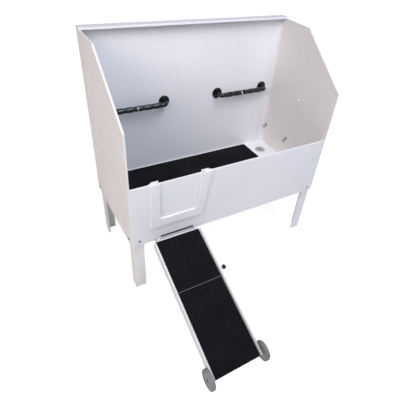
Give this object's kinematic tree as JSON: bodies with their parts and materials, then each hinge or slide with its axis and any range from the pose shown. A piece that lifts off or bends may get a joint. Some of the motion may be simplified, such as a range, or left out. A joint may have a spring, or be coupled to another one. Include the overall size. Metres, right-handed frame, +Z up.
{
  "type": "pet bathtub",
  "caption": "Raised walk-in pet bathtub of welded sheet: three high walls, lift-out gate, folding wheeled ramp, grab bars with tether rings, floor mat and drain",
  "frame": {"origin": "on the ground at the centre of the whole object's footprint, ramp down", "axes": "+X to the drain end, +Y from the ramp to the back wall, +Z up"},
  "size_m": [1.468, 1.5354, 1.5],
  "materials": {
    "white_sheet": "satin sheet",
    "mat_rubber": "finely pebbled",
    "black_gloss": "gloss",
    "steel": "brushed",
    "trim_aluminium": "satin",
    "dark_metal": "satin dark grey",
    "seal_rubber": "matt",
    "grey_plastic": "matt",
    "wheel_hub_plastic": "moulded",
    "wheel_tread": "smooth grey rubber"
  },
  "bodies": {
    "tub": {"front_panel": "white_sheet", "left_side_panel": "white_sheet", "right_side_panel": "white_sheet", "back_panel": "white_sheet", "floor_pan": "white_sheet", "floor_bearers": "white_sheet", "basin_coves": "white_sheet", "front_left_leg": "white_sheet", "front_right_leg": "white_sheet", "rear_left_leg": "white_sheet", "rear_right_leg": "white_sheet", "leg_bolts": "dark_metal", "leg_nuts": "steel", "door_frame": "white_sheet", "door_keeper": "white_sheet", "door_rail_caps": "white_sheet", "door_seal": "seal_rubber", "door_frame_screws": "steel", "floor_mat": "mat_rubber", "left_grab_bar": "black_gloss", "right_grab_bar": "black_gloss", "left_bar_flanges": "black_gloss", "right_bar_flanges": "black_gloss", "flange_screws": "dark_metal", "front_hose_hook": "dark_metal", "rear_hose_hook": "dark_metal", "hook_screws": "dark_metal", "drain_body": "steel", "drain_gasket": "seal_rubber", "drain_locknut": "grey_plastic", "drain_tailpiece": "grey_plastic", "head_bracket": "dark_metal", "head_pin": "steel"},
    "door": {"door_gate": "white_sheet"},
    "left_ring": {"left_tether_ring": "steel"},
    "right_ring": {"right_tether_ring": "steel"},
    "strainer": {"drain_strainer": "steel"},
    "ramp_upper": {"head_lugs": "steel", "upper_deck": "white_sheet", "upper_mat": "mat_rubber", "seam_trim": "trim_aluminium", "upper_left_board": "white_sheet", "upper_right_board": "white_sheet", "upper_fold_leaves": "steel"},
    "ramp_lower": {"lower_deck": "white_sheet", "lower_mat": "mat_rubber", "lower_left_board": "white_sheet", "lower_right_board": "white_sheet", "lower_fold_leaves": "steel", "fold_pins": "steel", "lock_plate": "steel", "plunger_housing": "steel", "left_stub_axle": "steel", "right_stub_axle": "steel"},
    "plunger": {"plunger_pin": "steel", "plunger_knob": "black_gloss"},
    "left_wheel": {"left_wheel_hub": "wheel_hub_plastic", "left_tyre": "wheel_tread"},
    "right_wheel": {"right_wheel_hub": "wheel_hub_plastic", "right_tyre": "wheel_tread"}
  },
  "joints": [
    {"name": "gate_lift", "type": "slide", "parent": "tub", "child": "door", "axis": [0, 0, 1], "range_m": [0, 0.28]},
    {"name": "ramp_swing", "type": "hinge", "parent": "tub", "child": "ramp_upper", "pos_m": [-0.428, 0.10645, 0.37904], "axis": [-1, 0, 0], "range_deg": [0, 20]},
    {"name": "ramp_fold", "type": "hinge", "parent": "ramp_upper", "child": "ramp_lower", "pos_m": [-0.428, -0.23884, 0.21501], "axis": [1, 0, 0], "range_deg": [0, 170]},
    {"name": "lock_slide", "type": "slide", "parent": "ramp_lower", "child": "plunger", "axis": [1, 0, 0], "range_m": [-0.01, 0]},
    {"name": "left_wheel_spin", "type": "hinge", "parent": "ramp_lower", "child": "left_wheel", "pos_m": [-0.608, -0.70671, 0.061], "axis": [1, 0, 0], "continuous": true},
    {"name": "right_wheel_spin", "type": "hinge", "parent": "ramp_lower", "child": "right_wheel", "pos_m": [-0.248, -0.70671, 0.061], "axis": [1, 0, 0], "continuous": true},
    {"name": "left_ring_swing", "type": "hinge", "parent": "tub", "child": "left_ring", "pos_m": [-0.432, 0.69471, 0.991], "axis": [1, 0, 0], "range_deg": [-60, 60]},
    {"name": "right_ring_swing", "type": "hinge", "parent": "tub", "child": "right_ring", "pos_m": [0.389, 0.69471, 0.991], "axis": [1, 0, 0], "range_deg": [-60, 60]},
    {"name": "strainer_lift", "type": "slide", "parent": "tub", "child": "strainer", "axis": [0, 0, 1], "range_m": [0, 0.06]}
  ]
}
